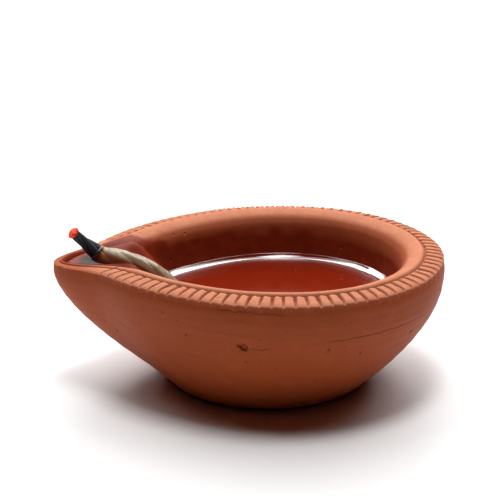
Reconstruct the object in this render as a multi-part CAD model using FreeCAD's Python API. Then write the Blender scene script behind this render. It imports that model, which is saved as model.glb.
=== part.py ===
import FreeCAD, Part
import math
import os
from FreeCAD import Vector

# A clay diya: a wheel-thrown oil lamp with a pinched spout, its oil and a twisted cotton wick.
#
# Frame, in millimetres: +Z up, the origin at the centre of the flat base, the spout along -X.
# The bowl is round about its own rim axis, which stands a little behind the base's centre, and is
# drawn out towards the spout.  Every shape of the bowl is a stack of closed rings about that axis.
# A ring's points share its length evenly, from the spout's nose right round to the nose again.

# Bowl: plan sizes, measured from the rim axis
BASE_RADIUS = 18.6          # flat base, cut from the wheel
RIM_AXIS_X = 3.0            # rim axis, behind the base's centre
BODY_RADIUS = 30.4          # at the widest height, away from the spout
MOUTH_RADIUS = 22.4         # inner edge of the lip
SHOULDER_REACH = 6.0        # how far the clay is drawn towards the spout over its whole width
SHOULDER_POWER = 20         # a higher power makes that narrower
BODY_NOSE_REACH = 6.75      # how much further the spout's nose reaches, outside
BODY_NOSE_POWER = 270
MOUTH_NOSE_REACH = 12.2     # and inside, where the channel runs out almost to the tip
MOUTH_NOSE_POWER = 310

# Bowl: heights
WIDEST_Z = 21.4             # widest ring of the body
RIM_EDGE_Z = 24.5           # outer edge of the notched band
GROOVE_Z = 24.85            # foot of the lip, where the band meets it
LIP_Z = 25.25               # crest of the lip
MOUTH_Z = 22.7              # inner edge of the lip
FLOOR_Z = 5.2               # inside floor
NOSE_DROP = 1.5             # the rim comes down this much towards the nose
EDGE_DROP = 0.9             # and its outer edge this much
NOSE_DROP_POWER = 180

# Bowl: rim, as shares of the way from the mouth's edge to the body's widest outline
EDGE_SHARE = 0.95
GROOVE_SHARE = 0.53
# The lip's crest is near its outer side, and the rest of it slopes down into the mouth
LIP_SECTION = [(GROOVE_SHARE, GROOVE_Z), (0.48, 25.12), (0.41, LIP_Z), (0.31, 25.0), (0.2, 24.6),
               (0.09, 23.9)]

# Bowl: walls
BASE_EDGE = 0.5             # rounding where the wall meets the base
BACK_FULLNESS = 1.78        # how full the outer wall's curve is, at the back
SPOUT_FULLNESS = 1.52       # and under the spout
FULLNESS_POWER = 6          # a higher power keeps the spout's curve nearer to the nose
FLOOR_RADIUS = 8.0          # the flat part of the inside floor
CAVITY_POWER = 6            # how suddenly the inside wall turns up from it

# Spout channel: the floor that the wick lies on, as (distance from the rim axis, height)
CHANNEL_FLOOR = [(12.5, 5.2), (24.0, 17.1), (26.8, 19.9), (29.8, 21.75), (33.2, 22.5), (38.0, 23.0),
                 (44.0, 23.6)]
CHANNEL_FLARE = 0.11        # rise of the channel's sides, per mm squared off its middle
FLARE_START = 16.0          # the channel is flat across up to this distance
FLARE_FULL = 29.0           # and fully flared from here on
FLARE_REACH = 6.5           # its sides rise up to this far off its middle
BLEND = 0.9                 # rounding where two of these shapes run together

# Notches pressed across the band with a V-shaped tool
NOTCH_PITCH = 2.16          # along the body's outline
NOTCH_CLEAR = 12.3          # bare clay on each side of the nose, along that outline
NOTCH_START_SHARE = 0.6     # the tool bites from just outside the groove
NOTCH_END_SHARE = 1.06      # and comes out through the wall below the band's edge
NOTCH_DEPTH = 0.35          # of the tool's point below the groove, at its inner end
NOTCH_SLOPE = 0.12          # fall of the tool's point on its way out
NOTCH_HEIGHT = 1.1          # of the V
NOTCH_WIDTH = 1.2           # of the V, at its top
NOTCH_TAPER = 0.8           # the V's size at its inner end, as a share

# Oil
OIL_Z = 16.2
WICK_CLEARANCE = 0.25       # round the wick, where it stands in the oil

# Wick: knots of its centreline from the end in the oil to the tip, as (distance from the rim axis,
# height, slope in degrees).  The first stretch is straight, and the wick draws out along it.
WICK_FOOT = (11.4, 7.4, 46.5)
WICK_SILL = (22.4, 18.99, 46.5)
WICK_CROWN = (31.3, 23.8, 14.0)     # lying in the channel
WICK_SCORCH = (34.9, 24.9, 38.0)    # the char begins here
WICK_TIP = (39.8, 29.4, 44.0)
STRAND_COUNT = 4
STRAND_RADIUS = 0.6
STRAND_OFFSET = 0.92        # of each strand's centre from the wick's
STRAND_LAY = 20.0           # length of one full twist
CHAR_TIP_SHARE = 0.6        # the char shrinks to this share of the wick's size
EMBER_LENGTH = 1.3
EMBER_SWELL = 0.25          # how much a glowing end swells half way along, as a share
EMBER_CLOSING = 0.97        # how far it has closed at its very tip

# Fineness
RING_POINTS = 120           # round the bowl
WALL_RINGS = 10             # between the base and the widest height
CAVITY_RINGS = 14           # between the mouth and the floor
OUTLINE_STEPS = 7200        # when an outline is measured
ROUTE_STEPS = 200           # when the wick's route is measured, from knot to knot
SECTION_SPACING = 0.8       # along a strand
FEWEST_SPANS = 4            # between sections, in a short strand
DIRECTION_STEP = 0.1        # along the wick, when a strand's direction is measured
SECTION_POINTS = 12         # round a strand


def reach(angle, radius, nose_reach, nose_power):
    """Plan radius of an outline at an angle from the spout, about the rim axis."""
    half = math.cos(angle / 2)
    return radius + SHOULDER_REACH * half ** SHOULDER_POWER + nose_reach * half ** nose_power


def body_reach(angle):
    return reach(angle, BODY_RADIUS, BODY_NOSE_REACH, BODY_NOSE_POWER)


def mouth_reach(angle):
    return reach(angle, MOUTH_RADIUS, MOUTH_NOSE_REACH, MOUTH_NOSE_POWER)


def base_reach(angle):
    """The base's circle, seen from the rim axis."""
    off = RIM_AXIS_X * math.sin(angle)
    return RIM_AXIS_X * math.cos(angle) + math.sqrt(BASE_RADIUS ** 2 - off ** 2)


def plan(distance, angle):
    """A place off the rim axis, with the spout at angle 0."""
    return Vector(RIM_AXIS_X - distance * math.cos(angle), distance * math.sin(angle), 0)


def measure(outline):
    """The outline's points, at close steps from the nose right round, with the length up to each."""
    angles = [2 * math.pi * i / OUTLINE_STEPS for i in range(OUTLINE_STEPS + 1)]
    points = [plan(outline(angle), angle) for angle in angles]
    along = [0.0]
    for before, after in zip(points, points[1:]):
        along.append(along[-1] + (after - before).Length)
    return points, along


def even_points(outline, shares):
    """Points at the given shares of an outline's length, counted from the nose."""
    points, along = measure(outline)
    found, i = [], 0
    for share in shares:
        target = share * along[-1]
        while along[i + 1] < target:
            i += 1
        part = (target - along[i]) / (along[i + 1] - along[i])
        found.append(points[i] + (points[i + 1] - points[i]) * part)
    return found


def nose_share(point, power):
    """From 0 round the bowl to 1 at the spout's nose."""
    angle = math.atan2(abs(point.y), RIM_AXIS_X - point.x)
    return math.cos(angle / 2) ** power


def smooth_min(a, b):
    share = max(BLEND - abs(a - b), 0.0) / BLEND
    return min(a, b) - share * share * BLEND / 4


def channel_height(point):
    """Height of the channel: straight runs with rounded joins along it, flared across it."""
    ahead = RIM_AXIS_X - point.x
    z = None
    for (d0, z0), (d1, z1) in zip(CHANNEL_FLOOR, CHANNEL_FLOOR[1:]):
        line = z0 + (z1 - z0) * (ahead - d0) / (d1 - d0)
        z = line if z is None else smooth_min(z, line)
    flare = min(max((ahead - FLARE_START) / (FLARE_FULL - FLARE_START), 0), 1)
    return z + CHANNEL_FLARE * flare * smooth_min(abs(point.y), FLARE_REACH) ** 2


def rim_height(point, z):
    return z - NOSE_DROP * nose_share(point, NOSE_DROP_POWER)


def inside_height(point, share):
    """Height inside the mouth, where share is 0 at the floor's edge and 1 at the mouth's edge: the
    wall turns up from the floor, and the channel's ramp stands on it at the spout."""
    wall = FLOOR_Z + (rim_height(point, MOUTH_Z) - FLOOR_Z) * share ** CAVITY_POWER
    ramp = smooth_min(channel_height(point), rim_height(point, LIP_Z))
    return -smooth_min(-wall, -ramp)


RING_SHARES = [i / RING_POINTS for i in range(RING_POINTS)]
BODY = even_points(body_reach, RING_SHARES)
MOUTH = even_points(mouth_reach, RING_SHARES)
BASE = even_points(base_reach, RING_SHARES)


def at_height(point, z):
    return Vector(point.x, point.y, z)


def wall_ring(share):
    """A ring of the outer wall: share is 0 at the base and 1 at the widest height."""
    ring = []
    for base, body in zip(BASE, BODY):
        fullness = BACK_FULLNESS + (SPOUT_FULLNESS - BACK_FULLNESS) * nose_share(body, FULLNESS_POWER)
        out = 1 - (1 - share) ** fullness
        ring.append(at_height(base + (body - base) * out, share * WIDEST_Z))
    return ring


def rim_ring(share, rim_z):
    """A ring of the rim: share is 0 at the mouth's edge and 1 at the body's outline."""
    ring = [mouth + (body - mouth) * share for mouth, body in zip(MOUTH, BODY)]
    return [at_height(point, rim_height(point, rim_z)) for point in ring]


def edge_ring():
    """The band's outer edge."""
    ring = [mouth + (body - mouth) * EDGE_SHARE for mouth, body in zip(MOUTH, BODY)]
    return [at_height(p, RIM_EDGE_Z - EDGE_DROP * nose_share(p, NOSE_DROP_POWER)) for p in ring]


def cavity_ring(share):
    """A ring inside the mouth: share is 0 at the floor's edge and 1 at the mouth's edge."""
    ring = []
    for turn, mouth in zip(RING_SHARES, MOUTH):
        floor = plan(FLOOR_RADIUS, 2 * math.pi * turn)
        point = floor + (mouth - floor) * share
        ring.append(at_height(point, inside_height(point, share) if share else FLOOR_Z))
    return ring


def closed_curve(points):
    curve = Part.BSplineCurve()
    curve.interpolate(Points=points, PeriodicFlag=True)
    return Part.Wire([curve.toShape()])


def skin(rings, ruled):
    """Faces through a stack of rings, straight from ring to ring or smooth over them all."""
    return Part.makeLoft([closed_curve(ring) for ring in rings], False, ruled).Faces


def solid_of(faces):
    shell = Part.makeShell(faces)
    shell.sewShape()
    solid = Part.makeSolid(shell)
    if solid.Volume < 0:
        solid.reverse()
    return solid


def make_plain_bowl():
    """The bowl before its band is notched: foot, wall, band, lip and cavity sewn into one skin."""
    foot = [base * (1 - BASE_EDGE / BASE_RADIUS) for base in BASE]
    edge = edge_ring()
    wall = [wall_ring((BASE_EDGE / 2 + ring * (WIDEST_Z - BASE_EDGE / 2) / WALL_RINGS) / WIDEST_Z)
            for ring in range(WALL_RINGS + 1)]
    lip = [rim_ring(share, z) for share, z in LIP_SECTION] + [cavity_ring(1)]
    cavity = [cavity_ring(ring / CAVITY_RINGS) for ring in range(CAVITY_RINGS, -1, -1)]
    faces = [Part.Face(closed_curve(foot)), Part.Face(closed_curve(cavity[-1]))]
    faces += skin([foot, wall[0]], True)
    faces += skin(wall + [edge], False)
    faces += skin([edge, lip[0]], True)
    faces += skin(lip, False)
    faces += skin(cavity, True)
    return solid_of(faces)


def notch_section(point, along, size):
    """The tool's V section, square to its travel: its point below, its opening above."""
    up = (Vector(0, 0, 1) - along * along.z).normalize()
    side = along.cross(up) * (NOTCH_WIDTH / 2 * size)
    top = point + up * (NOTCH_HEIGHT * size)
    return Part.makePolygon([point, top + side, top - side, point])


def make_notch_tools():
    """One wedge for each notch, laid outward from the rim axis across the band and out at the wall."""
    axis = Vector(RIM_AXIS_X, 0, 0)
    length = measure(body_reach)[1][-1]
    bare = NOTCH_CLEAR / length
    count = round((1 - 2 * bare) * length / NOTCH_PITCH)
    shares = [bare + (1 - 2 * bare) * (i + 0.5) / count for i in range(count)]
    tools = []
    for body in even_points(body_reach, shares):
        outward = (body - axis).normalize()
        band = BODY_RADIUS - MOUTH_RADIUS
        start = body - outward * (band * (1 - NOTCH_START_SHARE))
        start.z = GROOVE_Z - NOTCH_DEPTH - NOSE_DROP * nose_share(start, NOSE_DROP_POWER)
        travel = band * (NOTCH_END_SHARE - NOTCH_START_SHARE)
        end = start + outward * travel
        end.z -= NOTCH_SLOPE * travel
        along = (end - start).normalize()
        sections = [notch_section(start, along, NOTCH_TAPER), notch_section(end, along, 1)]
        tools.append(Part.makeLoft(sections, True, True))
    return tools


WICK_KNOTS = [WICK_FOOT, WICK_SILL, WICK_CROWN, WICK_SCORCH, WICK_TIP]


def wick_route():
    """The wick's centreline at close steps, from the end in the oil to the tip."""
    points = []
    for (d0, z0, slope0), (d1, z1, slope1) in zip(WICK_KNOTS, WICK_KNOTS[1:]):
        chord = math.hypot(d1 - d0, z1 - z0)
        leave, arrive = math.radians(slope0), math.radians(slope1)
        for i in range(ROUTE_STEPS + (d1 == WICK_TIP[0])):
            t = i / ROUTE_STEPS
            a, b = (1 + 2 * t) * (1 - t) ** 2, t * t * (3 - 2 * t)
            p, q = t * (1 - t) ** 2 * chord, t * t * (t - 1) * chord
            d = a * d0 + b * d1 + p * math.cos(leave) + q * math.cos(arrive)
            z = a * z0 + b * z1 + p * math.sin(leave) + q * math.sin(arrive)
            points.append(Vector(RIM_AXIS_X - d, 0, z))
    return points


ROUTE = wick_route()
ROUTE_LENGTH = [0.0]
for before, after in zip(ROUTE, ROUTE[1:]):
    ROUTE_LENGTH.append(ROUTE_LENGTH[-1] + (after - before).Length)
CHAR_START = ROUTE_LENGTH[WICK_KNOTS.index(WICK_SCORCH) * ROUTE_STEPS]
CHAR_END = ROUTE_LENGTH[-1] - EMBER_LENGTH


def route_frame(length):
    """A place on the wick's centreline with its direction and the normal square to both it and Y."""
    i = 1
    while i < len(ROUTE) - 1 and ROUTE_LENGTH[i] < length:
        i += 1
    direction = (ROUTE[i] - ROUTE[i - 1]).normalize()
    point = ROUTE[i] + direction * (length - ROUTE_LENGTH[i])
    return point, direction, Vector(0, 1, 0).cross(direction) * -1


def wick_size(length):
    """The wick's size along itself as a share: full up to the char, then shrinking."""
    burnt = min(max((length - CHAR_START) / (CHAR_END - CHAR_START), 0.0), 1.0)
    return 1 - (1 - CHAR_TIP_SHARE) * burnt


def strand_centre(strand, length):
    point, direction, up = route_frame(length)
    turn = 2 * math.pi * (strand / STRAND_COUNT + length / STRAND_LAY)
    offset = STRAND_OFFSET * wick_size(length)
    return point + up * (offset * math.sin(turn)) + Vector(0, offset * math.cos(turn), 0)


def strand_section(strand, length, radius):
    """A strand's round section, square to the strand's own twisted direction."""
    centre = strand_centre(strand, length)
    ahead = strand_centre(strand, length + DIRECTION_STEP)
    along = (ahead - strand_centre(strand, length - DIRECTION_STEP)).normalize()
    side = (Vector(0, 1, 0) - along * along.y).normalize()
    up = along.cross(side)
    turns = [2 * math.pi * i / SECTION_POINTS for i in range(SECTION_POINTS)]
    return closed_curve([centre + side * (radius * math.cos(a)) + up * (radius * math.sin(a))
                         for a in turns])


def make_strand(strand, start, end, taper):
    """One strand between two places along the wick; taper gives its radius's share at a place."""
    count = max(FEWEST_SPANS, round((end - start) / SECTION_SPACING))
    lengths = [start + (end - start) * i / count for i in range(count + 1)]
    sections = [strand_section(strand, at, STRAND_RADIUS * taper(at)) for at in lengths]
    return Part.makeLoft(sections, True)


def ember_size(length):
    """The glowing end of a strand swells a little and closes to a blunt round tip."""
    share = (length - CHAR_END) / EMBER_LENGTH
    swell = 1 + EMBER_SWELL * math.sin(math.pi * share)
    closing = math.sqrt(1 - EMBER_CLOSING * share ** 3)
    return CHAR_TIP_SHARE * swell * closing


def make_oil(plain_bowl):
    """The oil fills the cavity up to its level, with clear room round the wick."""
    middle = Vector(RIM_AXIS_X, 0, OIL_Z - 1)
    slab = Part.makeCylinder(MOUTH_RADIUS + SHOULDER_REACH, OIL_Z - FLOOR_Z / 2,
                             Vector(RIM_AXIS_X, 0, FLOOR_Z / 2))
    pool = [piece for piece in slab.cut(plain_bowl).Solids if piece.isInside(middle, 0.01, False)][0]
    foot, direction = route_frame(0)[:2]
    room_radius = STRAND_OFFSET + STRAND_RADIUS + WICK_CLEARANCE
    room = Part.makeCylinder(room_radius, WICK_SILL[1], foot - direction * WICK_CLEARANCE, direction)
    return pool.cut(room)


def write(name, shape):
    shape.exportStep(f"parts/{name}.step")


def main():
    os.makedirs("parts", exist_ok=True)
    plain_bowl = make_plain_bowl()
    write("clay_bowl", plain_bowl.cut(make_notch_tools()))
    write("oil", make_oil(plain_bowl))
    for strand in range(STRAND_COUNT):
        write(f"wick_strand_{strand + 1}", make_strand(strand, 0, CHAR_START, wick_size))
    charred = [make_strand(i, CHAR_START, CHAR_END, wick_size) for i in range(STRAND_COUNT)]
    embers = [make_strand(i, CHAR_END, ROUTE_LENGTH[-1], ember_size) for i in range(STRAND_COUNT)]
    write("wick_charred_ends", Part.makeCompound(charred))
    write("wick_ember_ends", Part.makeCompound(embers))


main()
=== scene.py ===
import math

import bpy
import numpy as np
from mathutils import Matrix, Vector, noise


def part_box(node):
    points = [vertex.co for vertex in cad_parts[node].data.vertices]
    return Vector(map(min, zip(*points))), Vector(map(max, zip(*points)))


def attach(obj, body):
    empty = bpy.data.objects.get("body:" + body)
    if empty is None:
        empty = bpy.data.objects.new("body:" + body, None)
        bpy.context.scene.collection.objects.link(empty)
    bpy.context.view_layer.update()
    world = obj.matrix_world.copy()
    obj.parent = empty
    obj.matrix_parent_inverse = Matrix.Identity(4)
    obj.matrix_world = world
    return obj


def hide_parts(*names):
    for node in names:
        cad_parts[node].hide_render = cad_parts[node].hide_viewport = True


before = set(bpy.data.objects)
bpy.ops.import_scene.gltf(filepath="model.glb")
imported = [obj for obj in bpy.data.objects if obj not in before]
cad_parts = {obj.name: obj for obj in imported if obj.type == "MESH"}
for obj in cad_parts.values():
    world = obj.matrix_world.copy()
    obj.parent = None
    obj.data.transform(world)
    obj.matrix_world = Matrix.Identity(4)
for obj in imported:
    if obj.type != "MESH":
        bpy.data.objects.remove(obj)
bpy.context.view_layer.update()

# A clay diya with oil and a cotton wick.  The frame is the CAD's: +Z up, the spout along -X.
# Shapes are worked out in millimetres, as in the CAD, and become metres when a mesh is made.
MM = 0.001
BOWL_LOW, BOWL_HIGH = (np.array(corner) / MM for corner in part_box("clay_bowl"))
OIL_HIGH = np.array(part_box("oil")[1]) / MM

# The bowl's outlines, measured from the rim axis
BODY_RADIUS = BOWL_HIGH[1]
RIM_AXIS_X = BOWL_HIGH[0] - BODY_RADIUS
LIP_Z = BOWL_HIGH[2]
BASE_RADIUS = 18.6
RIM_THICKNESS = 8.0
MOUTH_RADIUS = BODY_RADIUS - RIM_THICKNESS
SHOULDER_REACH = 6.0
SHOULDER_POWER = 20
BODY_NOSE_REACH = RIM_AXIS_X - BOWL_LOW[0] - BODY_RADIUS - SHOULDER_REACH
BODY_NOSE_POWER = 270
MOUTH_NOSE_REACH = 12.2
MOUTH_NOSE_POWER = 310

# The bowl's heights
WIDEST_Z = LIP_Z - 3.85
RIM_EDGE_Z = LIP_Z - 0.75
GROOVE_Z = LIP_Z - 0.4
MOUTH_Z = LIP_Z - 2.55
FLOOR_Z = 5.2
NOSE_DROP = 1.5
NOSE_DROP_POWER = 180
EDGE_SHARE = 0.95
GROOVE_SHARE = 0.53
EDGE_DROP = 0.9
CORNER_DROP = 0.3
BACK_FULLNESS = 1.78
SPOUT_FULLNESS = 1.52
SPOUT_POWER = 6
FLOOR_RADIUS = 8.0
CAVITY_POWER = 6
# The lip's section: shares of the rim's width from the mouth's edge, and heights below the crest
LIP_SHARES = (0.0, 0.03, 0.08, 0.13, 0.19, 0.26, 0.33, 0.39, 0.43, 0.47, 0.495, 0.512)
LIP_DROPS = (2.55, 2.05, 1.5, 1.05, 0.7, 0.42, 0.2, 0.05, 0.0, 0.07, 0.22, 0.46)
CHANNEL_FLOOR = [(12.5, 5.2), (24.0, 17.1), (26.8, 19.9), (29.8, 21.75), (33.2, 22.5), (38.0, 23.0),
                 (44.0, 23.6)]
CHANNEL_FLARE = 0.11
FLARE_START = 16.0
FLARE_FULL = 29.0
FLARE_REACH = 6.5
BLEND = 0.9

# The notches
NOTCH_PITCH = 2.16
NOTCH_CLEAR = 12.3
NOTCH_PLACES = (0.0, 0.14, 0.27, 0.34, 0.38, 0.43, 0.5, 0.57, 0.62, 0.66, 0.73, 0.86)
NOSE_COLUMNS = 64


def smoothstep(low, high, value):
    share = np.clip((value - low) / (high - low), 0.0, 1.0)
    return share * share * (3 - 2 * share)


def smooth_min(a, b, width=BLEND):
    share = np.maximum(width - np.abs(a - b), 0.0) / width
    return np.minimum(a, b) - share * share * width / 4


def bell(value, centre, width):
    return np.exp(-((value - centre) / width) ** 2)


def lumps(points, size, seed):
    """Perlin noise between -1 and 1 at each point, with lumps of the given size in mm."""
    offset = Vector((seed * 17.3, seed * 5.1, seed * 9.7))
    flat = points.reshape(-1, 3) / size
    values = [noise.noise(Vector(p) + offset) for p in flat]
    return np.array(values).reshape(points.shape[:-1])


# ---------------------------------------------------------------- the bowl's shape

class Outline:
    """A closed outline about the rim axis, read by share of its length from the spout's nose."""

    def __init__(self, reach):
        self.angles = np.linspace(0, 2 * math.pi, 7201)
        distance = reach(self.angles)
        self.x = RIM_AXIS_X - distance * np.cos(self.angles)
        self.y = distance * np.sin(self.angles)
        steps = np.hypot(np.diff(self.x), np.diff(self.y))
        self.along = np.concatenate([[0.0], np.cumsum(steps)])
        self.length = self.along[-1]

    def points(self, shares):
        at = shares * self.length
        return np.stack([np.interp(at, self.along, self.x), np.interp(at, self.along, self.y)], -1)


def drawn_reach(radius, nose_reach, nose_power):
    def reach(angle):
        half = np.abs(np.cos(angle / 2))
        return radius + SHOULDER_REACH * half ** SHOULDER_POWER + nose_reach * half ** nose_power
    return reach


def base_reach(angle):
    """The base's circle stands round the frame's origin, ahead of the rim axis."""
    return RIM_AXIS_X * np.cos(angle) + np.sqrt(BASE_RADIUS ** 2 - (RIM_AXIS_X * np.sin(angle)) ** 2)


BODY = Outline(drawn_reach(BODY_RADIUS, BODY_NOSE_REACH, BODY_NOSE_POWER))
MOUTH = Outline(drawn_reach(MOUTH_RADIUS, MOUTH_NOSE_REACH, MOUTH_NOSE_POWER))
BASE = Outline(base_reach)
BARE = NOTCH_CLEAR / BODY.length
NOTCH_COUNT = round((1 - 2 * BARE) * BODY.length / NOTCH_PITCH)


def column_shares():
    """Columns of the mesh: closer together in each notch, and evenly round the bare nose."""
    places = (np.arange(NOTCH_COUNT)[:, None] + np.array(NOTCH_PLACES)).ravel() / NOTCH_COUNT
    nose = (1 - BARE + 2 * BARE * np.arange(NOSE_COLUMNS) / NOSE_COLUMNS) % 1.0
    return np.sort(np.concatenate([BARE + (1 - 2 * BARE) * places, nose]))


def turn_of(off):
    """The angle round the rim axis of points given from it, from 0 at the spout's nose."""
    return np.arctan2(off[..., 1], -off[..., 0]) % (2 * math.pi)


SHARES = column_shares()
BODY_XY = BODY.points(SHARES)
BASE_XY = BASE.points(SHARES)
AXIS_XY = np.array([RIM_AXIS_X, 0.0])
OUT_XY = (BODY_XY - AXIS_XY) / np.linalg.norm(BODY_XY - AXIS_XY, axis=-1)[:, None]
ANGLES = turn_of(OUT_XY)

# Points spaced evenly along each outline, which the columns are read from
EVEN_COUNT = 2400
EVEN = np.arange(EVEN_COUNT) / EVEN_COUNT
EVEN_TURN = 2 * math.pi * EVEN
EVEN_BODY = BODY.points(EVEN)
EVEN_MOUTH = MOUTH.points(EVEN)
EVEN_FLOOR = AXIS_XY + FLOOR_RADIUS * np.stack([-np.cos(EVEN_TURN), np.sin(EVEN_TURN)], -1)


def columns_of(ring):
    """A ring's outline read along each column's straight line from the rim axis."""
    off = ring - AXIS_XY
    angles = turn_of(off)
    order = np.argsort(angles)
    reach = np.interp(ANGLES, angles[order], np.linalg.norm(off, axis=-1)[order], period=2 * math.pi)
    return AXIS_XY + OUT_XY * reach[:, None]


def rim_xy(share):
    return columns_of(EVEN_MOUTH + (EVEN_BODY - EVEN_MOUTH) * share)


def cavity_xy(share):
    return columns_of(EVEN_FLOOR + (EVEN_MOUTH - EVEN_FLOOR) * share)


def nose_share(xy, power):
    """From 0 round the bowl to 1 at the spout's nose."""
    angle = np.arctan2(np.abs(xy[..., 1]), RIM_AXIS_X - xy[..., 0])
    return np.cos(angle / 2) ** power


def channel_height(xy):
    """Height of the spout's channel: straight runs with rounded joins along it, flared across it."""
    ahead = RIM_AXIS_X - xy[..., 0]
    z = None
    for (d0, z0), (d1, z1) in zip(CHANNEL_FLOOR, CHANNEL_FLOOR[1:]):
        line = z0 + (z1 - z0) * (ahead - d0) / (d1 - d0)
        z = line if z is None else smooth_min(z, line)
    flare = np.clip((ahead - FLARE_START) / (FLARE_FULL - FLARE_START), 0, 1)
    return z + CHANNEL_FLARE * flare * smooth_min(np.abs(xy[..., 1]), FLARE_REACH) ** 2


def rim_height(xy, z):
    return z - NOSE_DROP * nose_share(xy, NOSE_DROP_POWER)


def inside_height(xy, share):
    """Height inside the mouth, where share is 0 at the floor's edge and 1 at the mouth's edge."""
    wall = FLOOR_Z + (rim_height(xy, MOUTH_Z) - FLOOR_Z) * share ** CAVITY_POWER
    ramp = smooth_min(channel_height(xy), rim_height(xy, LIP_Z))
    return -smooth_min(-wall, -ramp)


def row(xy, z):
    return np.concatenate([xy, np.broadcast_to(z, xy.shape[:-1])[..., None]], -1)


def wall_row(share):
    fullness = BACK_FULLNESS + (SPOUT_FULLNESS - BACK_FULLNESS) * nose_share(BODY_XY, SPOUT_POWER)
    out = (1 - (1 - share) ** fullness)[:, None]
    return row(BASE_XY + (BODY_XY - BASE_XY) * out, share * WIDEST_Z)


def rim_row(share, rim_z):
    xy = rim_xy(share)
    return row(xy, rim_height(xy, rim_z))


def cavity_row(share):
    xy = cavity_xy(share)
    return row(xy, inside_height(xy, share))


WALL_ROWS = 34
SHOULDER_ROWS = 8
BAND_ROWS = 12
FIRST_WALL_SHARE = 0.02
BAND_CREST = 0.08
BAND_MARGIN = 0.04
# The foot's section: shares of the base's outline, and heights
FOOT = ((0.5, 0.0), (0.965, 0.0), (0.988, 0.12))
# The groove's section: shares of the rim's width, and heights from the groove's level
GROOVE_SECTION = ((0.562, 0.0), (0.548, -0.2), (0.532, -0.34), (0.52, -0.26))
OUTER_ROWS = len(FOOT) + WALL_ROWS + SHOULDER_ROWS


def bowl_rows():
    """The bowl's skin as rows from the base's edge over the rim and down to the floor."""
    rows = [row(BASE_XY * size, z) for size, z in FOOT]
    rows += [wall_row(t) for t in np.linspace(FIRST_WALL_SHARE, 1.0, WALL_ROWS)]
    for t in np.linspace(0, 1, SHOULDER_ROWS + 1)[1:]:
        xy = rim_xy(1 - (1 - EDGE_SHARE) * t ** 3)
        drop = EDGE_DROP * nose_share(xy, NOSE_DROP_POWER)
        rows.append(row(xy, WIDEST_Z + (RIM_EDGE_Z - CORNER_DROP - drop - WIDEST_Z) * t))
    for t in np.linspace(0.04, 1, BAND_ROWS) ** 1.3:
        corner = CORNER_DROP * (1 - t) ** 9
        z = RIM_EDGE_Z - corner + (GROOVE_Z + BAND_CREST - RIM_EDGE_Z) * t
        rows.append(rim_row(EDGE_SHARE - (EDGE_SHARE - GROOVE_SHARE - BAND_MARGIN) * t, z))
    rows += [rim_row(share, GROOVE_Z + z) for share, z in GROOVE_SECTION]
    for share, drop in list(zip(LIP_SHARES, LIP_DROPS))[:0:-1]:
        rows.append(rim_row(share, LIP_Z - drop))
    rows += [cavity_row(t) for t in np.linspace(1, 0.8, 15)]
    rows += [cavity_row(t) for t in np.linspace(0.8, 0.0, 6)[1:]]
    return np.array(rows)


def notch_places(points):
    """Each point's notch, how far it is to its side and out on the band, and if it has one at all."""
    off = points[..., :2] - AXIS_XY
    angle = turn_of(off)
    share = np.interp(angle, BODY.angles, BODY.along) / BODY.length
    turn = (share - BARE) / (1 - 2 * BARE) * NOTCH_COUNT
    number = np.clip(np.floor(turn).astype(int), 0, NOTCH_COUNT - 1)
    distance = np.linalg.norm(off, axis=-1)
    body = np.interp(angle, ANGLES, np.linalg.norm(BODY_XY - AXIS_XY, axis=-1), period=2 * math.pi)
    aside = (turn - number - 0.5) * NOTCH_PITCH * distance / body
    within = (turn >= 0) & (turn < NOTCH_COUNT)
    return number, aside, distance - body + BODY_RADIUS - MOUTH_RADIUS, within


NOTCH_START = 4.45           # from the mouth's edge
NOTCH_FLOOR = 0.72           # depth of its point below the groove's level, at its start
NOTCH_FALL = 0.05            # and how much deeper it is for each mm outward
NOTCH_SIDES = 2.5            # steepness of its sides
NOTCH_BACK = 6.0             # steepness of its inner end
NOTCH_ROUNDING = (0.004, 0.063)    # rounds its bottom: added under the root, and taken off after it
NOTCH_MIDDLE = 6.0           # where along it the skew turns it, from the mouth's edge
NOTCH_JOIN = 0.08            # width of the blend at its edges
RIDGE = (0.1, 0.45, 0.2)     # clay raised beside it: height, distance to the side, width
BAND_TILT = 0.16             # how much the band leans from each notch to the next
CREASE_DEPTH = 0.45          # depth at which its shading is full
GROOVE_CREASE = 0.8          # shading in the groove


def vary(rng, size):
    """A number for each notch, spread evenly over the given size about 0."""
    return size * (rng.random(NOTCH_COUNT) - 0.5)


def carve_notches(points, rng):
    """Cuts the V notches across the band and out at its edge, each a little different."""
    number, aside, out, within = notch_places(points)
    depth = 1 + vary(rng, 0.3)
    steep = 1 + vary(rng, 0.4)
    shift = vary(rng, 0.16)
    skew = vary(rng, 0.05)
    aside = aside - shift[number] - skew[number] * (out - NOTCH_MIDDLE)
    side = np.sqrt(aside ** 2 + NOTCH_ROUNDING[0]) - NOTCH_ROUNDING[1]
    drop = NOSE_DROP * nose_share(points[..., :2], NOSE_DROP_POWER)
    floor = GROOVE_Z - drop - NOTCH_FLOOR * depth[number] - NOTCH_FALL * (out - NOTCH_START)
    tool = floor + NOTCH_SIDES * steep[number] * side
    tool = tool + NOTCH_BACK * np.maximum(NOTCH_START - out, 0)
    high = points[..., 2] > WIDEST_Z + 1.2
    ridge_height, ridge_aside, ridge_width = RIDGE
    ridge = ridge_height * bell(np.abs(aside), ridge_aside, ridge_width)
    lifted = ridge * smoothstep(0.2, 0.6, out - NOTCH_START)
    tilt = BAND_TILT * (aside / NOTCH_PITCH) * (out > NOTCH_START)
    on_band = within & high & (out > NOTCH_START - 0.4)
    z = points[..., 2]
    carved = np.where(on_band, smooth_min(z + lifted - tilt, tool, NOTCH_JOIN), z)
    # Painted shade: how far the clay was cut down, kept to darken the notches and the groove
    crease_shade = np.clip((z - carved) / CREASE_DEPTH, 0, 1)
    first = OUTER_ROWS + BAND_ROWS
    crease_shade[first:first + len(GROOVE_SECTION)] = GROOVE_CREASE
    points[..., 2] = carved
    return points, crease_shade


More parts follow.
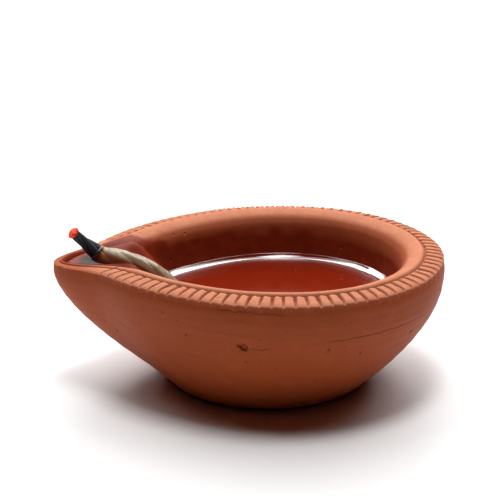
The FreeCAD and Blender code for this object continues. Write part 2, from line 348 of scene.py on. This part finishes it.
def wall_outward():
    """The wall's outward direction in plan, column by column."""
    along = np.roll(BODY_XY, -1, 0) - np.roll(BODY_XY, 1, 0)
    normal = np.stack([along[:, 1], -along[:, 0]], -1)
    normal /= np.linalg.norm(normal, axis=-1)[:, None]
    if np.dot(normal[0], BODY_XY[0] - AXIS_XY) < 0:
        normal = -normal
    return normal


OUTWARD = wall_outward()


def add_burrs(points, rng):
    """Clay that the tool pushed out: a drip below each notch, and an overhanging edge on the band."""
    number, aside, _, within = notch_places(points)
    size = 0.12 + 0.22 * rng.random(NOTCH_COUNT)
    low = 0.3 + 0.5 * rng.random(NOTCH_COUNT)
    off = vary(rng, 0.3)
    edge_z = RIM_EDGE_Z - EDGE_DROP * nose_share(points[..., :2], NOSE_DROP_POWER)
    below = edge_z - points[..., 2]
    outer = np.arange(points.shape[0])[:, None] < OUTER_ROWS
    drip = size[number] * bell(aside, off[number], 0.3) * bell(below, 0.45 + low[number] * 0.5, 0.4)
    ledge = 0.16 * bell(below, 0.25, 0.3) * smoothstep(0.15, 0.5, np.abs(aside))
    hollow = -0.2 * bell(below, 1.15, 0.55)
    move = (drip + ledge + hollow) * within * outer
    points[..., :2] += OUTWARD * move[..., None]
    return points


# Dents in the outer wall: (degrees round from the spout towards -Y, height, radius, depth)
DENTS = [(71, 16.3, 0.9, 0.5), (69.5, 16.5, 0.5, 0.35), (11.5, 14.0, 0.28, 0.2),
         (14.5, 12.4, 0.28, 0.2), (50.5, 17.2, 0.28, 0.2), (100, 15.8, 0.28, 0.2),
         (113, 13.8, 0.25, 0.2), (137, 15.2, 0.4, 0.2)]
# Scratches and a hairline crack in it: (degrees, height) at both ends, half width, depth
SCRATCHES = [((74, 16.0), (79.5, 16.1), 0.1, 0.18), ((100, 17.4), (146, 17.9), 0.09, 0.25),
             ((106.5, 9.4), (110.5, 10.3), 0.12, 0.12), ((126, 12.4), (139, 13.6), 0.08, 0.12),
             ((63, 23.2), (84, 22.8), 0.1, 0.15), ((20, 15.2), (26, 14.4), 0.1, 0.12)]


def wear(points):
    """Throwing rings, lumps and dents of a hand-made bowl, and an uneven rim."""
    z = points[..., 2]
    radius = np.linalg.norm(points[..., :2] - AXIS_XY, axis=-1)
    on_wall = smoothstep(1.0, 3.0, z) * (1 - smoothstep(WIDEST_Z, WIDEST_Z + 1.5, z))
    is_outside = np.arange(points.shape[0])[:, None] < len(FOOT) + WALL_ROWS
    rings = 0.035 * np.sin(z * 3.1 + 2 * lumps(points, 30.0, 3))
    rings = rings + 0.03 * lumps(points * [0.25, 0.25, 1.6], 2.0, 4)
    broad = 0.22 * lumps(points, 14.0, 1) + 0.07 * lumps(points, 4.0, 2)
    move = (rings + broad) * on_wall * is_outside
    angle = np.degrees(np.arctan2(-points[..., 1], RIM_AXIS_X - points[..., 0]))
    for degrees, height, size, depth in DENTS:
        across = (angle - degrees) * math.pi / 180 * radius
        distance = np.hypot(across, (z - height) * 1.3)
        move = move - depth * bell(distance, 0, size) * is_outside
    points[..., :2] += OUTWARD * move[..., None]
    top = smoothstep(WIDEST_Z, WIDEST_Z + 2, z)
    points[..., 2] += (0.10 * lumps(points, 11.0, 5) + 0.035 * lumps(points, 2.5, 6)) * top
    return points


def grid_mesh(name, points):
    """A mesh of rows that run right round, closed by a fan at each end."""
    rows, columns = points.shape[:2]
    verts = [tuple(p) for p in (points.reshape(-1, 3) * MM)]
    faces = []
    for r in range(rows - 1):
        for c in range(columns):
            d = (c + 1) % columns
            near, far = r * columns, (r + 1) * columns
            faces.append((near + c, near + d, far + d, far + c))
    for r, flip in ((0, True), (rows - 1, False)):
        verts.append(tuple(points[r].mean(0) * MM))
        for c in range(columns):
            pair = (r * columns + c, r * columns + (c + 1) % columns)
            faces.append((pair[1], pair[0], len(verts) - 1) if flip else (*pair, len(verts) - 1))
    mesh = bpy.data.meshes.new(name)
    mesh.from_pydata(verts, [], faces)
    mesh.validate()
    mesh.shade_smooth()
    piece = bpy.data.objects.new(name, mesh)
    bpy.context.scene.collection.objects.link(piece)
    return piece


def add_attribute(piece, name, values):
    data = np.zeros(len(piece.data.vertices), dtype=np.float32)
    data[:values.size] = values.reshape(-1)
    piece.data.attributes.new(name, "FLOAT", "POINT").data.foreach_set("value", data)


# Where oil wets the clay and the flame has sooted it
WET_LIP_ROWS = 4             # rows of the lip's outer face that stay dry
TIDE_Z = 21.6                # height that the oil creeps to, at the mouth's edge
TIDE_LEAN = 0.04             # its rise for each mm towards the spout
TIDE_SPOUT = 2.4             # and how much higher it stands in the spout
FLAME_AHEAD = 35.5           # distance of the wick's burning end from the rim axis
SOOT_REACH = 3.6


def make_bowl():
    rng = np.random.default_rng(7)
    points = bowl_rows()
    points, crease_shade = carve_notches(points, rng)
    points = add_burrs(points, rng)
    points = wear(points)
    piece = grid_mesh("clay_bowl_body", points)
    z = points[..., 2]
    rows = np.arange(points.shape[0])[:, None]
    inside = rows >= OUTER_ROWS + BAND_ROWS + len(GROOVE_SECTION) + WET_LIP_ROWS
    ahead = RIM_AXIS_X - points[..., 0]
    mouth_xy = rim_xy(0)
    mouth = row(mouth_xy, 0.0)
    tide = TIDE_Z - TIDE_LEAN * mouth_xy[:, 0] + 0.9 * lumps(mouth, 9.0, 8) + 0.3 * lumps(mouth, 2.6, 9)
    tide = tide + TIDE_SPOUT * smoothstep(20, 30, ahead)
    wet = inside * (1 - smoothstep(tide - 0.3, tide + 0.3, z))
    # Where the rim is paler: partly dust, partly a painted highlight where its top faces the light;
    # less inside below the lip and towards the nose
    rim = (1 - 0.8 * inside * smoothstep(24.5, 23.7, z)) * (rows >= OUTER_ROWS - 1)
    rim = rim * (1 - 0.75 * smoothstep(33, 39, ahead))
    flame = np.hypot(ahead - FLAME_AHEAD, points[..., 1])
    soot = inside * bell(flame + 1.2 * lumps(points, 1.5, 10), 0, SOOT_REACH)
    add_attribute(piece, "crease_shade", crease_shade)
    # Painted shade: the inside of the mouth below the lip
    add_attribute(piece, "inside", inside * smoothstep(24.6, 23.6, z))
    add_attribute(piece, "wet", wet)
    add_attribute(piece, "rim", rim)
    add_attribute(piece, "soot", np.clip(soot, 0, 1))
    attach(piece, "bowl")
    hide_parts("clay_bowl")
    piece.data.materials.append(terracotta())


# ---------------------------------------------------------------- materials

def colour(red, green, blue):
    """A colour given as it looks on a screen, 0 to 255."""
    def linear(value):
        value = value / 255
        return value / 12.92 if value <= 0.04045 else ((value + 0.055) / 1.055) ** 2.4
    return (linear(red), linear(green), linear(blue), 1.0)


class Shader:
    """A Principled material with its textures laid out in millimetres on the object."""

    def __init__(self, name):
        self.material = bpy.data.materials.new(name)
        self.material.use_nodes = True
        self.nodes = self.material.node_tree.nodes
        self.links = self.material.node_tree.links
        self.surface = self.nodes["Principled BSDF"]
        place = self.nodes.new("ShaderNodeTexCoord")
        scale = self.nodes.new("ShaderNodeMapping")
        scale.inputs["Scale"].default_value = (1 / MM, 1 / MM, 1 / MM)
        self.links.new(place.outputs["Object"], scale.inputs["Vector"])
        self.place = scale.outputs["Vector"]

    def plug(self, socket, value):
        if isinstance(value, bpy.types.NodeSocket):
            self.links.new(value, socket)
        else:
            socket.default_value = value

    def set(self, **values):
        """Sets the surface's own sockets: base_color=..., roughness=... and so on."""
        names = {socket.name.lower().replace(" ", "_"): socket for socket in self.surface.inputs}
        for name, value in values.items():
            self.plug(names[name], value)

    def math(self, operation, a, b=0.0):
        node = self.nodes.new("ShaderNodeMath")
        node.operation = operation
        self.plug(node.inputs[0], a)
        self.plug(node.inputs[1], b)
        return node.outputs[0]

    def stretched(self, stretch):
        node = self.nodes.new("ShaderNodeMapping")
        node.inputs["Scale"].default_value = stretch
        self.links.new(self.place, node.inputs["Vector"])
        return node.outputs["Vector"]

    def noise(self, size, detail=3.0, roughness=0.5, stretch=None):
        node = self.nodes.new("ShaderNodeTexNoise")
        node.inputs["Scale"].default_value = 1 / size
        node.inputs["Detail"].default_value = detail
        node.inputs["Roughness"].default_value = roughness
        self.links.new(self.stretched(stretch) if stretch else self.place, node.inputs["Vector"])
        return node.outputs["Fac"]

    def cells(self, size):
        """Distance to the nearest of points strewn at the given spacing, as a share of it."""
        node = self.nodes.new("ShaderNodeTexVoronoi")
        node.inputs["Scale"].default_value = 1 / size
        self.links.new(self.place, node.inputs["Vector"])
        return node.outputs["Distance"]

    def between(self, value, low, high):
        """0 below low, 1 above high, smooth in between; low may be the larger one."""
        node = self.nodes.new("ShaderNodeMapRange")
        node.interpolation_type = "SMOOTHSTEP"
        self.plug(node.inputs["Value"], value)
        flip = low > high
        node.inputs["From Min"].default_value = min(low, high)
        node.inputs["From Max"].default_value = max(low, high)
        node.inputs["To Min"].default_value = 1.0 if flip else 0.0
        node.inputs["To Max"].default_value = 0.0 if flip else 1.0
        return node.outputs["Result"]

    def span(self, value, low, high):
        """A value of 0 to 1 as one between low and high."""
        return self.math("ADD", self.math("MULTIPLY", value, high - low), low)

    def mix(self, factor, first, second):
        node = self.nodes.new("ShaderNodeMix")
        node.data_type = "RGBA"
        self.plug(node.inputs["Factor"], factor)
        self.plug(node.inputs[6], first)
        self.plug(node.inputs[7], second)
        return node.outputs[2]

    def stain(self, under, mask, strength, shade):
        """A colour laid over another where the mask is 1, at the given strength."""
        return self.mix(self.math("MULTIPLY", mask, strength), under, shade)

    def attribute(self, name):
        node = self.nodes.new("ShaderNodeAttribute")
        node.attribute_name = name
        return node.outputs["Fac"]

    def height(self):
        """Height above the floor, in millimetres."""
        node = self.nodes.new("ShaderNodeSeparateXYZ")
        self.links.new(self.place, node.inputs[0])
        return node.outputs["Z"]

    def wall_place(self):
        """Angle round the rim axis, in radians from the spout towards -Y, and height in mm."""
        split = self.nodes.new("ShaderNodeSeparateXYZ")
        self.links.new(self.place, split.inputs[0])
        ahead = self.math("SUBTRACT", RIM_AXIS_X, split.outputs["X"])
        turn = self.math("ARCTAN2", self.math("MULTIPLY", split.outputs["Y"], -1.0), ahead)
        return turn, split.outputs["Z"]

    def scratch(self, start, end, half_width):
        """1 along a wandering line on the outer wall, between two (degrees from the spout, height)."""
        turn, height = self.wall_place()
        degrees = self.math("MULTIPLY", turn, 180 / math.pi)
        slope = (end[1] - start[1]) / (end[0] - start[0])
        line = self.math("ADD", self.math("MULTIPLY", degrees, slope), start[1] - slope * start[0])
        wander = self.span(self.noise(2.2, 3.0), -0.6, 0.6)
        off = self.math("ADD", self.math("SUBTRACT", height, line), wander)
        off = self.math("ABSOLUTE", off)
        near = self.between(off, half_width, 0.3 * half_width)
        within = self.math("MULTIPLY", self.between(degrees, start[0] - 1, start[0] + 1),
                           self.between(degrees, end[0] + 1, end[0] - 1))
        return self.math("MULTIPLY", near, within)

    def spot(self, degrees, height, radius):
        """1 at a place on the outer wall, fading out to a radius in millimetres."""
        turn, level = self.wall_place()
        across = self.math("MULTIPLY", self.math("SUBTRACT", turn, math.radians(degrees)), BODY_RADIUS)
        up = self.math("SUBTRACT", level, height)
        away = self.math("SQRT", self.math("ADD", self.math("MULTIPLY", across, across),
                                           self.math("MULTIPLY", up, up)))
        ragged = self.math("ADD", away, self.span(self.noise(0.7, 3.0), -0.4 * radius, 0.4 * radius))
        return self.between(ragged, radius, 0.4 * radius)

    def bump(self, *layers):
        """Layers of (height from 0 to 1, depth in millimetres), added together."""
        total = None
        for value, depth in layers:
            part = self.math("MULTIPLY", value, depth)
            total = part if total is None else self.math("ADD", total, part)
        node = self.nodes.new("ShaderNodeBump")
        node.inputs["Strength"].default_value = 1.0
        node.inputs["Distance"].default_value = MM
        self.links.new(total, node.inputs["Height"])
        self.links.new(node.outputs["Normal"], self.surface.inputs["Normal"])


def terracotta():
    """Fired clay: brown-orange on the wall, paler on the tooled rim, partly with dust and partly with a
    painted highlight of the light from above, dark where oil wets it but made paler under the oil with
    painted light, and sooty round the wick. Painted shade darkens the notches, the groove, the
    scratches, the dents and the inside below the lip."""
    clay = Shader("terracotta")
    wet, rim, soot = clay.attribute("wet"), clay.attribute("rim"), clay.attribute("soot")
    clouds = clay.noise(16.0, 3.0)
    mottle = clay.noise(2.6, 5.0, 0.6)
    grain = clay.noise(0.22, 3.0, 0.7)
    streaks = clay.noise(3.0, 4.0, 0.6, (0.25, 0.25, 2.5))
    wall = clay.mix(clouds, colour(172, 78, 35), colour(158, 68, 30))
    wall = clay.stain(wall, clay.between(mottle, 0.5, 0.75), 0.4, colour(180, 88, 48))
    wall = clay.stain(wall, clay.between(streaks, 0.55, 0.75), 0.3, colour(138, 58, 27))
    # The rim's paler colour: partly dust, partly a painted highlight of the light from above
    dust_and_highlight = clay.mix(clay.between(mottle, 0.35, 0.7), colour(188, 118, 86), colour(198, 128, 94))
    dust_and_highlight = clay.stain(dust_and_highlight, clay.between(grain, 0.6, 0.8), 0.4, colour(176, 92, 62))
    dry = clay.stain(wall, rim, 0.9, dust_and_highlight)
    speck = clay.between(clay.cells(1.1), 0.16, 0.06)
    dry = clay.stain(dry, speck, 0.55, colour(92, 44, 28))
    # Painted shade in the notches and the groove
    dry = clay.stain(dry, clay.attribute("crease_shade"), 0.65, colour(120, 50, 26))
    marks = [(clay.scratch(start, end, wide), -deep) for start, end, wide, deep in SCRATCHES]
    marks += [(clay.spot(degrees, height, size), -deep) for degrees, height, size, deep in DENTS]
    # Painted shade: the scratches, the crack and the dents are darkened where they dip in
    for mark, _ in marks:
        dry = clay.stain(dry, mark, 0.4, colour(66, 28, 16))
    # Painted shade: darker inside the mouth, below the lip
    dry = clay.stain(dry, clay.attribute("inside"), 0.25, colour(118, 50, 24))
    soaked = clay.mix(clay.between(mottle, 0.35, 0.7), colour(124, 38, 12), colour(138, 48, 16))
    # Painted light: the clay under the oil made paler, in place of light coming in through the oil
    painted_light_under_oil = clay.between(clay.height(), OIL_LEVEL + 0.6, OIL_LEVEL - 0.6)
    soaked = clay.mix(painted_light_under_oil, soaked, colour(200, 110, 70))
    shade = clay.mix(wet, dry, soaked)
    burnt = clay.between(clay.math("ADD", soot, clay.math("MULTIPLY", mottle, 0.5)), 0.55, 0.95)
    shade = clay.stain(shade, burnt, 0.9, colour(38, 26, 24))
    rough = clay.span(mottle, 0.5, 0.68)
    rough = clay.math("SUBTRACT", rough, clay.math("MULTIPLY", wet, 0.22))
    rough = clay.math("ADD", rough, clay.math("MULTIPLY", rim, 0.1))
    pits = clay.between(clay.cells(3.4), 0.11, 0.05)
    pinholes = clay.between(clay.cells(1.3), 0.10, 0.03)
    clay.set(base_color=shade, roughness=rough, specular_ior_level=0.18)
    clay.bump((grain, 0.035), (mottle, 0.06), (streaks, 0.05), (pits, -0.16), (pinholes, -0.07), *marks)
    return clay.material


def amber_oil():
    """Lamp oil: deep amber-red, half clear, so that the clay and the wick show dimly through it."""
    oil = Shader("amber_oil")
    clouds = oil.noise(14.0, 2.0)
    shade = oil.mix(clouds, (0.28, 0.016, 0.001, 1.0), (0.21, 0.011, 0.001, 1.0))
    oil.set(base_color=shade, roughness=0.07, ior=1.47, transmission_weight=0.4)
    return oil.material


def cotton():
    """Oil-soaked cotton yarn, cream, browner below the oil and towards the char."""
    yarn = Shader("soaked_cotton")
    fibres = yarn.noise(0.16, 4.0, 0.7)
    patches = yarn.noise(1.6, 3.0)
    scorch = yarn.attribute("scorch")
    cream = yarn.mix(patches, colour(172, 152, 124), colour(152, 130, 100))
    cream = yarn.stain(cream, fibres, 0.3, colour(130, 106, 76))
    brown = yarn.mix(yarn.between(scorch, 0.0, 0.6), cream, colour(178, 128, 66))
    brown = yarn.mix(yarn.between(scorch, 0.5, 1.0), brown, colour(60, 34, 22))
    deep = yarn.between(yarn.height(), OIL_LEVEL + 1.2, OIL_LEVEL - 0.5)
    shade = yarn.stain(brown, deep, 0.6, colour(170, 110, 60))
    yarn.set(base_color=shade, roughness=yarn.span(fibres, 0.22, 0.45), subsurface_weight=0.25,
             subsurface_scale=0.0012, coat_weight=0.5, coat_roughness=0.12)
    yarn.surface.inputs["Subsurface Radius"].default_value = (1.0, 0.6, 0.3)
    yarn.bump((fibres, 0.05), (yarn.attribute("twist"), 0.05))
    return yarn.material


def charred():
    """Burnt yarn: blue-black, brittle, with a dull sheen."""
    char = Shader("charred_cotton")
    crumbs = char.noise(0.3, 4.0, 0.7)
    shade = char.mix(crumbs, colour(14, 14, 20), colour(46, 48, 62))
    char.set(base_color=shade, roughness=char.span(crumbs, 0.45, 0.8), specular_ior_level=0.35)
    char.bump((crumbs, 0.12), (char.noise(0.9, 3.0), 0.1))
    return char.material


def glowing():
    """The tip's embers: orange-red carbon with darker ash between."""
    ember = Shader("ember")
    crumbs = ember.noise(0.45, 3.0, 0.6)
    heat = ember.between(crumbs, 0.3, 0.62)
    shade = ember.mix(heat, colour(120, 22, 12), colour(236, 84, 36))
    glow = ember.mix(heat, colour(120, 10, 2), colour(250, 70, 20))
    ember.set(base_color=shade, roughness=0.7, emission_color=glow, emission_strength=0.55)
    ember.bump((crumbs, 0.12))
    return ember.material


def pale_floor():
    floor = Shader("pale_floor")
    haze = floor.noise(90.0, 2.0)
    floor.set(base_color=floor.mix(haze, (0.86, 0.86, 0.86, 1), (0.84, 0.84, 0.84, 1)), roughness=0.35,
              specular_ior_level=0.35)
    return floor.material


# ---------------------------------------------------------------- the oil

OIL_LEVEL = OIL_HIGH[2] - 0.75
OIL_BOTTOM = 4.4
OIL_SIDE_DROP = 4
MENISCUS_RISE = 1.35
MENISCUS_REACH = 1.1
WICK_CLIMB = (0.45, 0.6)     # how far the oil climbs the wick, and how fast that fades
LEAST_SLANT = 0.45           # keeps the meniscus from reaching too far where the shore turns
SHORE_STEP = 3               # columns of the bowl to each column of the oil

# Rows of its mesh: shares of the bottom, distances in from the shore, and shares of the surface
BOTTOM_SHARES = (0.8, 0.6, 0.4, 0.2)
SHORE_ROWS = (-0.6, -0.2, 0.0, 0.06, 0.14, 0.24, 0.36, 0.5, 0.68, 0.9, 1.2, 1.6, 2.1)
SURFACE_SHARES = (0.85, 0.7, 0.55, 0.4, 0.25, 0.1)


def shore(z):
    """Where the clay stands at a height, for each column of the bowl."""
    shares = np.linspace(0.3, 1.0, 141)
    rings = np.array([cavity_xy(share) for share in shares])
    heights = np.array([inside_height(ring, share) for ring, share in zip(rings, shares)])
    first = np.argmax(heights > z, axis=0)
    columns = np.arange(len(SHARES))
    below, above = heights[first - 1, columns], heights[first, columns]
    part = ((z - below) / (above - below))[:, None]
    return rings[first - 1, columns] + (rings[first, columns] - rings[first - 1, columns]) * part


def make_oil():
    """A level surface that climbs the clay in a meniscus, with the closed body of oil below it."""
    edge = shore(OIL_LEVEL + MENISCUS_RISE)[::SHORE_STEP]
    along = np.roll(edge, -1, 0) - np.roll(edge, 1, 0)
    normal = np.stack([-along[:, 1], along[:, 0]], -1) / np.linalg.norm(along, axis=-1)[:, None]
    toward = (AXIS_XY - edge) / np.linalg.norm(AXIS_XY - edge, axis=-1)[:, None]
    slant = np.abs(np.sum(toward * normal, axis=-1))
    inward = toward / np.maximum(slant, LEAST_SLANT)[:, None]
    rows = []
    for depth in BOTTOM_SHARES:
        rows.append(row(AXIS_XY + (edge - AXIS_XY) * (1.03 - 0.9 * depth), OIL_BOTTOM))
    rows.append(row(edge - inward * 0.7, OIL_LEVEL - OIL_SIDE_DROP))
    for out in SHORE_ROWS:
        climb = MENISCUS_RISE * math.exp(-max(out, 0) / MENISCUS_REACH) + 0.15 * min(out, 0)
        rows.append(row(edge + inward * out, OIL_LEVEL + climb))
    inner = rows[-1][:, :2]
    for share in SURFACE_SHARES:
        rows.append(row(AXIS_XY + (inner - AXIS_XY) * share, OIL_LEVEL))
    points = np.array(rows)
    wick = wick_distance(points[..., 0], points[..., 1], OIL_LEVEL) - WICK_RADIUS
    surface = points[..., 2] > OIL_LEVEL - 0.5
    climb, fade = WICK_CLIMB
    points[..., 2] += climb * np.exp(-np.maximum(wick, 0) / fade) * surface
    piece = grid_mesh("oil_pool", points)
    piece.data.materials.append(amber_oil())
    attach(piece, "bowl")
    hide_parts("oil")


# ---------------------------------------------------------------- the wick

# Knots of its centreline: (distance from the rim axis, height, slope in degrees)
WICK_KNOTS = [(11.4, 7.4, 46.5), (22.4, 18.99, 46.5), (31.3, 23.8, 14.0), (34.9, 24.9, 38.0),
              (39.8, 29.4, 44.0)]
WICK_SLOPE = math.radians(WICK_KNOTS[0][2])
WICK_RADIUS = 1.55
STRAND_LAY = 20.0
CHAR_TIP_SHARE = 0.6
EMBER_LENGTH = 1.3
SCORCH_LENGTH = 2.0
FIBRE_PITCH = 3.2
ROUTE_STEPS = 120

# Each part of a yarn: its radius, how far it stands from the wick's centre, rings, and sides
YARN = (1.32, 0.42, 150, 28)
CHAR = (0.76, 0.78, 40, 20)
EMBER = (0.72, 0.85, 16, 20)


def wick_distance(x, y, z):
    """Distance in plan from the wick's centre where it passes a height, stretched by its slope."""
    d0, z0 = WICK_KNOTS[0][:2]
    along = (RIM_AXIS_X - x) - (d0 + (z - z0) / math.tan(WICK_SLOPE))
    return np.hypot(along * math.sin(WICK_SLOPE), y)


def wick_route():
    """The wick's centreline: a smooth curve through its knots at their slopes."""
    points = []
    for (d0, z0, slope0), (d1, z1, slope1) in zip(WICK_KNOTS, WICK_KNOTS[1:]):
        chord = math.hypot(d1 - d0, z1 - z0)
        t = np.arange(ROUTE_STEPS) / ROUTE_STEPS
        a, b = (1 + 2 * t) * (1 - t) ** 2, t * t * (3 - 2 * t)
        p, q = t * (1 - t) ** 2 * chord, t * t * (t - 1) * chord
        s0, s1 = math.radians(slope0), math.radians(slope1)
        d = a * d0 + b * d1 + p * math.cos(s0) + q * math.cos(s1)
        z = a * z0 + b * z1 + p * math.sin(s0) + q * math.sin(s1)
        points.append(np.stack([RIM_AXIS_X - d, 0 * d, z], -1))
    d, z = WICK_KNOTS[-1][:2]
    points.append(np.array([[RIM_AXIS_X - d, 0, z]]))
    return np.concatenate(points)


ROUTE = wick_route()
ALONG = np.concatenate([[0], np.cumsum(np.linalg.norm(np.diff(ROUTE, axis=0), axis=-1))])
CHAR_START = ALONG[3 * ROUTE_STEPS]
CHAR_END = ALONG[-1] - EMBER_LENGTH


def route_point(length):
    return np.stack([np.interp(length, ALONG, ROUTE[:, i]) for i in range(3)], -1)


def route_at(length):
    """Points along the centreline, with the directions to its side and upward from it."""
    step = route_point(length + 0.2) - route_point(length - 0.2)
    along = step / np.linalg.norm(step, axis=-1)[:, None]
    side = np.broadcast_to([0.0, 1.0, 0.0], along.shape)
    return route_point(length), side, np.cross(along, side)


def make_yarn(name, strand, start, end, section, shape):
    """A yarn of the wick between two places along it; shape gives its size, ring by ring."""
    radius, offset, rings, sides = section
    length = np.linspace(start, end, rings)
    point, side, up = route_at(length)
    size = shape(length)
    turn = 2 * math.pi * (strand / 4 + length / STRAND_LAY)
    spoke = side * np.cos(turn)[:, None] + up * np.sin(turn)[:, None]
    centre = point + spoke * (offset * size)[:, None]
    around = np.arange(sides) * 2 * math.pi / sides
    spin = around[None, :] + turn[:, None]
    ring = side[:, None, :] * np.cos(spin)[..., None] + up[:, None, :] * np.sin(spin)[..., None]
    reach = ring * (radius * size)[:, None, None]
    points = centre[:, None, :] + reach
    wobble = 1 + 0.05 * lumps(points, 1.1, strand + 20) + 0.03 * lumps(points, 0.35, strand + 30)
    points = centre[:, None, :] + reach * wobble[..., None]
    piece = grid_mesh(name, points)
    twist = 0.5 + 0.5 * np.sin(7 * around[None, :] + 2 * math.pi * length[:, None] / FIBRE_PITCH)
    add_attribute(piece, "twist", twist)
    scorched = CHAR_START + 0.1
    ragged = length[:, None] + 0.5 * lumps(points, 0.8, strand + 40)
    add_attribute(piece, "scorch", smoothstep(scorched - SCORCH_LENGTH, scorched, ragged))
    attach(piece, "wick")
    return piece


def full_size(length):
    return np.ones_like(length)


def char_size(length):
    burnt = np.clip((length - CHAR_START) / (CHAR_END - CHAR_START), 0, 1)
    return 1 - (1 - CHAR_TIP_SHARE) * burnt


def ember_size(length):
    share = np.clip((length - CHAR_END) / EMBER_LENGTH, 0, 1)
    return CHAR_TIP_SHARE * (1 + 0.3 * np.sin(math.pi * share)) * np.sqrt(1 - 0.97 * share ** 3)


def make_wick():
    yarn = cotton()
    for strand in range(4):
        piece = make_yarn(f"yarn_{strand + 1}", strand, 0, CHAR_START + 0.3, YARN, full_size)
        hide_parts(f"wick_strand_{strand + 1}")
        piece.data.materials.append(yarn)
    black, hot = charred(), glowing()
    for strand in range(4):
        char = make_yarn(f"char_{strand + 1}", strand, CHAR_START, CHAR_END + 0.2, CHAR, char_size)
        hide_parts("wick_charred_ends")
        char.data.materials.append(black)
        tip = make_yarn(f"ember_{strand + 1}", strand, CHAR_END, ALONG[-1], EMBER, ember_size)
        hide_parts("wick_ember_ends")
        tip.data.materials.append(hot)


# ---------------------------------------------------------------- camera, floor and light

# Lengths are in metres from here on, and powers in watts
CAMERA_AZIMUTH = math.radians(-4.5)
CAMERA_ELEVATION = math.radians(18.32)
CAMERA_DISTANCE = 0.27
CAMERA_TARGET = Vector((RIM_AXIS_X - 6.287, 0, LIP_Z - 0.57)) * MM
FLOOR_HALF = 2
# Each light: its name, place, the point it faces, size and power
LIGHTS = (("softbox", (0.05, 0.26, 0.5), (0.05, 0.26, 0), (0.9, 0.5), 4.2),
          ("top_light", (0.02, -0.02, 0.9), (0, 0, 0), (0.3, 0.22), 4.2),
          ("floor_light", (0, 0.75, 0.6), (0, 0.75, 0), (1.6, 0.6), 12.0))
# How bright the room is by direction: an axis, two places along it and the strength at each
ROOM = (("Y", -0.75, 0.35, 0.03, 0.38), ("Z", 0.325, 0.345, 1.0, 0.03))


def make_camera():
    """Looks down 18 degrees at the lamp's front, with the spout turned a little towards it."""
    azimuth, elevation = CAMERA_AZIMUTH, CAMERA_ELEVATION
    back = Vector((math.sin(azimuth) * math.cos(elevation), -math.cos(azimuth) * math.cos(elevation),
                   math.sin(elevation)))
    data = bpy.data.cameras.new("camera")
    data.sensor_width = 36
    data.lens = 103.05
    data.clip_start = 0.01
    camera = bpy.data.objects.new("camera", data)
    camera.location = CAMERA_TARGET + back * CAMERA_DISTANCE
    camera.rotation_euler = back.to_track_quat("Z", "Y").to_euler()
    bpy.context.scene.collection.objects.link(camera)
    bpy.context.scene.camera = camera


def make_floor():
    mesh = bpy.data.meshes.new("floor")
    far = FLOOR_HALF
    corners = [(-far, -far, 0), (far, -far, 0), (far, far, 0), (-far, far, 0)]
    mesh.from_pydata(corners, [], [(0, 1, 2, 3)])
    floor = bpy.data.objects.new("floor", mesh)
    floor.data.materials.append(pale_floor())
    bpy.context.scene.collection.objects.link(floor)


def make_light(name, place, target, size, power):
    data = bpy.data.lights.new(name, "AREA")
    data.shape = "RECTANGLE"
    data.size, data.size_y = size
    data.energy = power
    light = bpy.data.objects.new(name, data)
    light.location = place
    light.rotation_euler = (Vector(place) - Vector(target)).to_track_quat("Z", "Y").to_euler()
    bpy.context.scene.collection.objects.link(light)


def make_lights():
    """Three lights overhead, in a room that is dark above and towards the camera."""
    for light in LIGHTS:
        make_light(*light)
    world = bpy.data.worlds.new("studio")
    world.use_nodes = True
    nodes, links = world.node_tree.nodes, world.node_tree.links
    place = nodes.new("ShaderNodeTexCoord")
    split = nodes.new("ShaderNodeSeparateXYZ")
    links.new(place.outputs["Generated"], split.inputs[0])
    ramps = []
    for axis, low, high, first, last in ROOM:
        ramp = nodes.new("ShaderNodeMapRange")
        ramp.interpolation_type = "SMOOTHSTEP"
        ramp.inputs["From Min"].default_value = low
        ramp.inputs["From Max"].default_value = high
        ramp.inputs["To Min"].default_value = first
        ramp.inputs["To Max"].default_value = last
        links.new(split.outputs[axis], ramp.inputs["Value"])
        ramps.append(ramp)
    both = nodes.new("ShaderNodeMath")
    both.operation = "MULTIPLY"
    links.new(ramps[0].outputs["Result"], both.inputs[0])
    links.new(ramps[1].outputs["Result"], both.inputs[1])
    links.new(both.outputs[0], nodes["Background"].inputs["Strength"])
    bpy.context.scene.world = world
    bpy.context.scene.view_settings.view_transform = "Standard"


make_camera()
make_floor()
make_lights()
make_bowl()
make_oil()
make_wick()
